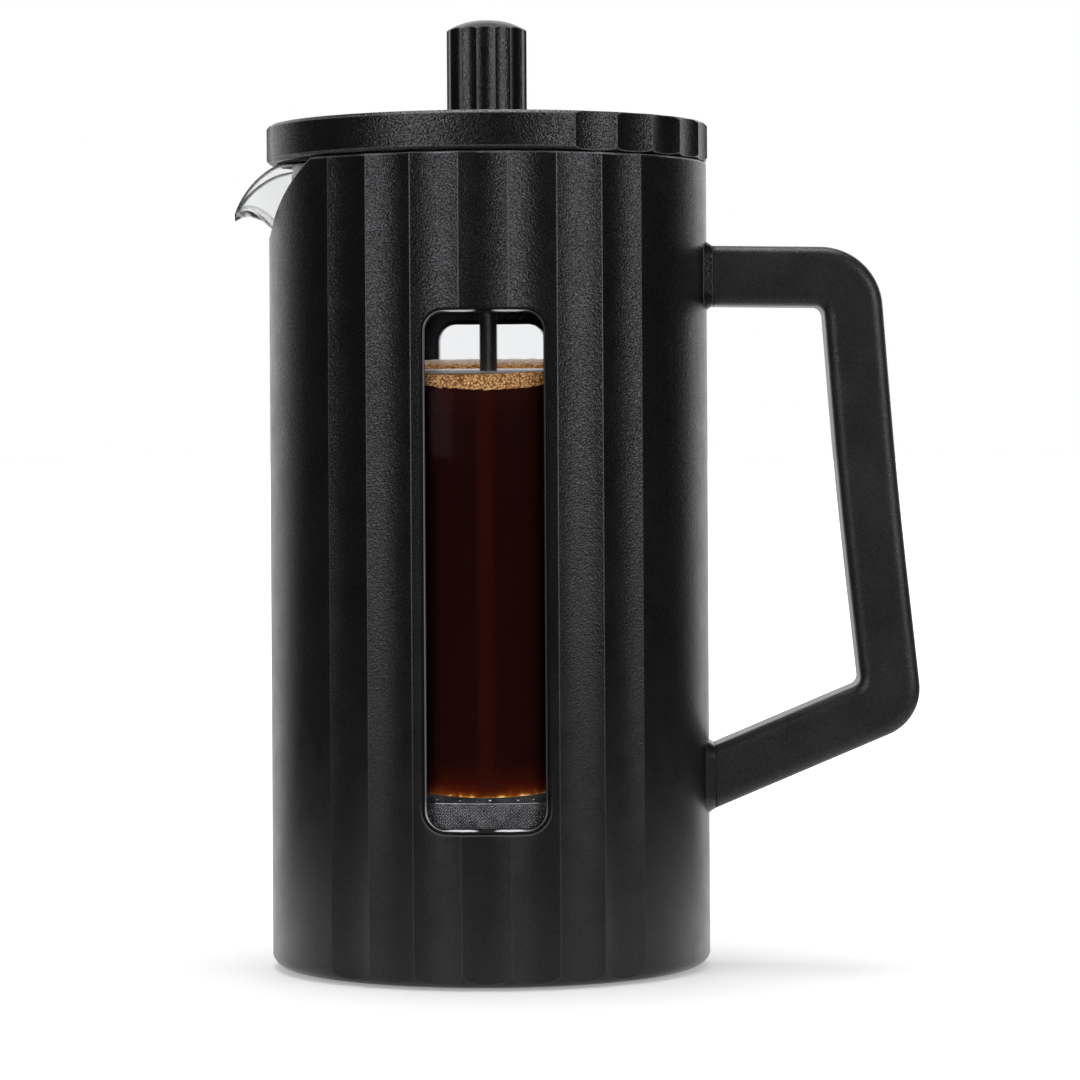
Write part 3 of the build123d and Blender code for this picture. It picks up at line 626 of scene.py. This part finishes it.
def foam():
    """The crema: froth against the glass, thicker behind, round a smooth film."""
    low = COFFEE_TOP - 0.9 * MM
    high = COFFEE_TOP + 1.8 * MM
    bottom = COFFEE_TOP + 0.05 * MM
    film_top = high - 0.1 * MM
    outline = [(0, bottom), (WALL - 3 * MM, bottom), (WALL - 1.0 * MM, low + 0.3 * MM)]
    outline += [(WALL, low), (WALL, (low + high) / 2), (WALL, high), (WALL - 0.8 * MM, high + 0.1 * MM)]
    outline += [(WALL - 1.8 * MM, film_top), (WALL - 9 * MM, film_top), (0, film_top)]

    def shift(co):
        return froth_top(co) if co.z > COFFEE_TOP + 1.5 * MM else froth_bottom(co)
    new_piece("foam", turned("foam", outline, 480, shift, 60.0), coffee_foam(), "beaker")


def air_bubbles():
    """Small bubbles caught above the screen's hem, a few in each window."""
    in_window, apart = 6, 4.1 * MM
    built = bmesh.new()
    chance = random.Random(7)
    for side in (-1, 1):
        for index in range(in_window):
            size = chance.uniform(0.2, 0.5) * MM
            aside = (index - (in_window - 1) / 2) * apart + chance.uniform(-1.5, 1.5) * MM
            reach = GLASS_BORE - 0.2 * MM - size
            level = mesh_high.z + 0.15 * MM + size + chance.uniform(0.0, 0.3) * MM
            spot = Matrix.Translation((aside, side * sqrt(reach * reach - aside * aside), level))
            bmesh.ops.create_uvsphere(built, u_segments=16, v_segments=10, radius=size, matrix=spot)
    new_piece("air_bubbles", smooth_mesh("air_bubbles", built, 80.0), bubble_film(), "beaker")


# ---------------------------------------------------------------- filter
def coil_points(ring, winding, level):
    """Points of a wire that is wound round a ring, from the radii of the ring and the winding."""
    turns, steps = 84, 14
    count = turns * steps
    for index in range(count):
        around = 2 * pi * index / count
        twist = 2 * pi * index / steps
        reach = ring + winding * cos(twist)
        yield (reach * cos(around), reach * sin(around), level + winding * sin(twist), 1)


def wire_mesh(name, points, wire):
    """The mesh of a closed round wire through (x, y, z, 1) points."""
    data = bpy.data.curves.new(name, "CURVE")
    data.dimensions = "3D"
    data.bevel_depth = wire
    data.bevel_resolution = 1
    line = data.splines.new("POLY")
    line.points.add(len(points) - 1)
    line.use_cyclic_u = True
    for knot, point in zip(line.points, points):
        knot.co = point
    curve = bpy.data.objects.new(name + "_line", data)
    bpy.context.scene.collection.objects.link(curve)
    bpy.context.view_layer.update()
    mesh = bpy.data.meshes.new_from_object(curve)
    bpy.data.objects.remove(curve)
    for face in mesh.polygons:
        face.use_smooth = True
    mesh.materials.clear()
    return mesh


def wire_coil():
    """The closed coil spring, a fine wire wound round a ring inside the screen's skirt."""
    low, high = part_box("coil_spring")
    wire = 0.45 * MM
    winding = (high.z - low.z) / 2 - wire
    points = list(coil_points(high.x - winding - wire, winding, (high.z + low.z) / 2))
    coil_steel = turned_steel("coil_steel", (0.6, 0.6, 0.61), 0.2)
    made = new_piece("wire_coil", wire_mesh("wire_coil", points, wire), coil_steel, "plunger")
    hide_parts("coil_spring")


def screen_hem():
    """The screen's folded upper hem, a thin bright ring."""
    level = mesh_high.z - 0.1 * MM
    ring = mesh_high.x + 0.02 * MM
    across, along, sides = 0.16 * MM, 0.2 * MM, 10
    angles = [2 * pi * step / sides for step in range(sides)]
    outline = [(ring + across * cos(a), level + along * sin(a)) for a in angles]
    mesh = turned("screen_hem", outline, 192, sharp=80.0)
    hem_steel = turned_steel("hem_steel", (0.34, 0.34, 0.35), 0.3)
    new_piece("screen_hem", mesh, hem_steel, "plunger")


# ---------------------------------------------------------------- studio
AMBIENT = 0.5                   # how bright the surroundings are for matt surfaces
FRONT_MIRRORED = 0.02           # and in front of the object for shiny ones
BACK_MIRRORED = 1.2             # and behind it
BEHIND = (0.56, 0.80)           # from which share of +Y on the surroundings turn white
LEAN = 0.05                     # they do so a little sooner on the left
ASIDE_THROUGH = 0.02            # how bright the sides look through the glass
BACK_THROUGH = 0.88             # and how bright the back does
FLOOR_MIRRORED = (0.38, 1.1)    # how bright the floor near the object is, in front and aside
FLOOR_NEAR = (0.1, 0.4)         # from and to which distance from the object that fades
FLOOR_GLOW = (0.2, 0.9)         # and the floor turns plain white
FLOOR_HALF = 40.0               # half the floor's width
BOX_DISTANCE = 1.35             # both softboxes stand this far from the press
BOX_LOW = 0.12                  # with their lower edge at this height
BOX_HEIGHT = 0.75
BOX_RADIANCE = 2.6              # how bright their faces are


def only_mirrored(tree, path):
    """1 for rays that a shiny surface reflected, and 0 for those that came through the glass."""
    return minus(tree, path.outputs["Is Glossy Ray"], path.outputs["Is Transmission Ray"])


def leaning(tree, x, y):
    """A direction's share of +Y, a little more towards the left."""
    return minus(tree, y, times(tree, x, LEAN))


def mirrored_floor(tree, distance, x, y):
    """How bright a place on the floor looks in shiny surfaces, from its distance and direction."""
    far = spread(tree, leaning(tree, x, y), *BEHIND, FRONT_MIRRORED, 1.0)
    near = spread(tree, y, -0.7, 0.3, *FLOOR_MIRRORED)
    return plus(tree, times(tree, far, spread(tree, distance, *FLOOR_NEAR)),
                times(tree, near, spread(tree, distance, *FLOOR_NEAR, 1.0, 0.0)))


def pale_floor():
    """A matt pale surface that glows for the camera, the more the further out."""
    made, tree, shader = new_material("pale_floor")
    where = place(tree)
    distance = add(tree, "VectorMath", {0: where}, operation="LENGTH").outputs["Value"]
    bearing = add(tree, "VectorMath", {0: where}, operation="NORMALIZE").outputs["Vector"]
    x, y, _ = axes(tree, bearing)
    tone = blend_colours(tree, cloud(tree, 0.3, 2.0), (0.84, 0.84, 0.84), (0.86, 0.86, 0.86))
    path = add(tree, "LightPath")
    glow = times(tree, path.outputs["Is Camera Ray"], spread(tree, distance, *FLOOR_GLOW, 0.3, 1.0))
    feed(tree, shader, Base_Color=tone, Roughness=0.7, Emission_Color=(1, 1, 1, 1), Emission_Strength=glow)
    dim = add(tree, "Emission", {"Strength": mirrored_floor(tree, distance, x, y)})
    mixed = add(tree, "MixShader", {0: only_mirrored(tree, path), 1: shader.outputs[0], 2: dim.outputs[0]})
    tree.links.new(mixed.outputs[0], tree.nodes["Material Output"].inputs["Surface"])
    return made


def studio_floor():
    """A pale floor that keeps the shadow near the object and is plain white further out."""
    mesh = bpy.data.meshes.new("floor")
    corners = [(x * FLOOR_HALF, y * FLOOR_HALF, 0) for x, y in ((-1, -1), (1, -1), (1, 1), (-1, 1))]
    mesh.from_pydata(corners, [], [(0, 1, 2, 3)])
    mesh.materials.append(pale_floor())
    floor = bpy.data.objects.new("floor", mesh)
    floor.location.z = cad_box[0][2] - 0.05 * MM
    bpy.context.scene.collection.objects.link(floor)


def studio_world():
    """White behind the object and dim in front of it."""
    world = bpy.data.worlds.new("studio")
    bpy.context.scene.world = world
    world.use_nodes = True
    tree = world.node_tree
    path = add(tree, "LightPath")
    x, y, _ = axes(tree, add(tree, "TexCoord").outputs["Generated"])
    through = spread(tree, unsigned(tree, y), 0.35, 0.65, ASIDE_THROUGH, BACK_THROUGH)
    seen_through = times(tree, path.outputs["Is Transmission Ray"], through)
    seen = larger(tree, path.outputs["Is Camera Ray"], seen_through)
    behind = spread(tree, leaning(tree, x, y), *BEHIND, FRONT_MIRRORED, BACK_MIRRORED)
    mirrored = times(tree, behind, only_mirrored(tree, path))
    around = times(tree, path.outputs["Is Diffuse Ray"], AMBIENT)
    strength = larger(tree, larger(tree, seen, mirrored), around)
    feed(tree, tree.nodes["Background"], Strength=strength, Color=(1, 1, 1, 1))


def area_light(name, where, towards, width, height, watts, colour=(1, 1, 1)):
    """A soft rectangular lamp that faces a point."""
    data = bpy.data.lights.new(name, "AREA")
    data.shape = "RECTANGLE"
    data.size = width
    data.size_y = height
    data.energy = watts
    data.color = colour
    made = bpy.data.objects.new(name, data)
    made.location = where
    aim = Vector(towards) - Vector(where)
    made.rotation_euler = aim.to_track_quat("-Z", "Y").to_euler()
    bpy.context.scene.collection.objects.link(made)


def softbox(name, turn, width):
    """An upright lamp at an angle from the front, in degrees, that faces the press."""
    turn = radians(turn)
    where = (BOX_DISTANCE * sin(turn), -BOX_DISTANCE * cos(turn), BOX_LOW + BOX_HEIGHT / 2)
    watts = BOX_RADIANCE * pi * width * BOX_HEIGHT
    area_light(name, where, (0, 0, where[2]), width, BOX_HEIGHT, watts, (1.0, 0.97, 1.02))


def studio_lights():
    """Softboxes left and right in front, and one overhead."""
    softbox("left_softbox", -34, 0.76)
    softbox("right_softbox", 47.5, 0.84)
    area_light("overhead", (0.0, 0.1, 1.25), (0, 0, 0.12), 0.9, 0.7, 9)


def photo_camera():
    """A level camera in front of the press, turned a little to the handle's side."""
    data = bpy.data.cameras.new("camera")
    data.sensor_width = 36
    data.lens = 140
    data.shift_x = 0.0473
    data.shift_y = -0.0849
    data.clip_start = 0.01
    distance, height = 1.01, 0.124
    turn, roll = radians(1.2), radians(-0.33)
    stand = Matrix.Translation((distance * sin(turn), -distance * cos(turn), height))
    facing = Matrix.Rotation(turn, 4, "Z") @ Matrix.Rotation(pi / 2, 4, "X")
    made = bpy.data.objects.new("camera", data)
    made.matrix_world = stand @ facing @ Matrix.Rotation(roll, 4, "Z")
    bpy.context.scene.collection.objects.link(made)
    bpy.context.scene.camera = made


# ---------------------------------------------------------------- finishes of the CAD pieces
def shell_finish():
    """The shell's plastic, with painted highlights on its window bevels and rim."""
    made = moulded_plastic("shell_plastic", BLACK, 0.30, 0.38 * MM, 0.055 * MM, fading=True)
    painted_window_glint(made)
    painted_rim_glint(made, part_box("housing")[1].z)
    return made


def lid_finish():
    """The lid's plastic, which is more matt on top."""
    made = moulded_plastic("lid_plastic", BLACK, 0.29, 0.38 * MM, 0.075 * MM, sparkle=1.2)
    matt_top(made)
    return made


def finish_cad_nodes():
    """Gives each piece its finish."""
    shell_plastic = shell_finish()
    # the handle's plastic is the shell's black made 3.4 times lighter, painted light on its faces
    handle_plastic = moulded_plastic("handle_plastic", scaled(BLACK, 3.4), 0.34, 0.38 * MM, 0.05 * MM,
                                     edge=1.5 * MM, sparkle=0.65, highlight_gain=2)
    knob_plastic = moulded_plastic("knob_plastic", BLACK, 0.25, 0.34 * MM, 0.035 * MM, edge=0.45 * MM)
    liner_plastic = moulded_plastic("liner_plastic", (0.014, 0.014, 0.014), 0.34, 0.9 * MM, 0.012 * MM)
    rubber = silicone("rubber", (0.018, 0.018, 0.019))
    steel = turned_steel("steel")
    rod_steel = turned_steel("rod_steel", (0.26, 0.25, 0.24), 0.44)
    plate_steel = turned_steel("plate_steel", roughness=0.2, along="X")
    brass = turned_steel("brass", (0.62, 0.43, 0.16), 0.28)
    finishes = {
        "housing": shell_plastic, "handle": handle_plastic, "base_cover": shell_plastic,
        "lid_cover": lid_finish(), "lid_liner": liner_plastic, "knob": knob_plastic,
        "lid_gasket": rubber, "foot_ring": rubber, "beaker_cushion": rubber,
        "beaker": clear_glass(), "rod_bush": steel, "bush_nut": steel, "plunger_rod": rod_steel,
        "spiral_plate": plate_steel, "cross_plate": plate_steel, "coil_spring": steel,
        "filter_mesh": woven_steel(), "filter_nut": steel, "handle_screws": steel, "base_screws": steel,
        "knob_insert": brass,
    }
    for name, finish in finishes.items():
        slots = nodes[name].data.materials
        slots.clear()
        slots.append(finish)


finish_cad_nodes()
coffee()
foam()
air_bubbles()
wire_coil()
screen_hem()
studio_floor()
studio_world()
studio_lights()
photo_camera()

bpy.context.scene.view_settings.view_transform = "Standard"
